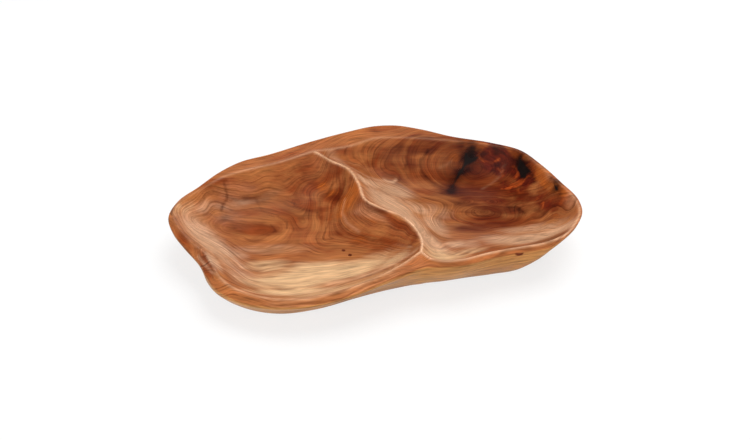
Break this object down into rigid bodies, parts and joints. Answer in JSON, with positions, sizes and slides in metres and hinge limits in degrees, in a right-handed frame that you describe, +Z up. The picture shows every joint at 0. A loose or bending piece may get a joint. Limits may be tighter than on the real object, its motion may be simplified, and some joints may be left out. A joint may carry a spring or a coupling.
{
  "type": "divided serving bowl",
  "caption": "Free-form oval serving bowl carved from one piece of root wood, with a wandering divider between two hollow basins and flush dark knots.",
  "frame": {"origin": "centre of the bounding box in plan, on the plane of the foot that the bowl stands on", "axes": "+X along the bowl from the basin with the low rim to the other, +Y to the back where the rim is highest, +Z up"},
  "size_m": [0.4, 0.25, 0.062],
  "materials": {
    "root_wood": "sanded smooth and oiled to a soft sheen",
    "dark_knot": "sanded flush and oiled",
    "red_knot": "sanded flush and oiled"
  },
  "bodies": {
    "root": {"carved_bowl": "root_wood", "long_knot": "dark_knot", "round_knot": "dark_knot", "rim_knot": "dark_knot", "wall_knot": "red_knot", "upper_pin_knot": "red_knot", "lower_pin_knot": "red_knot"}
  },
  "joints": []
}
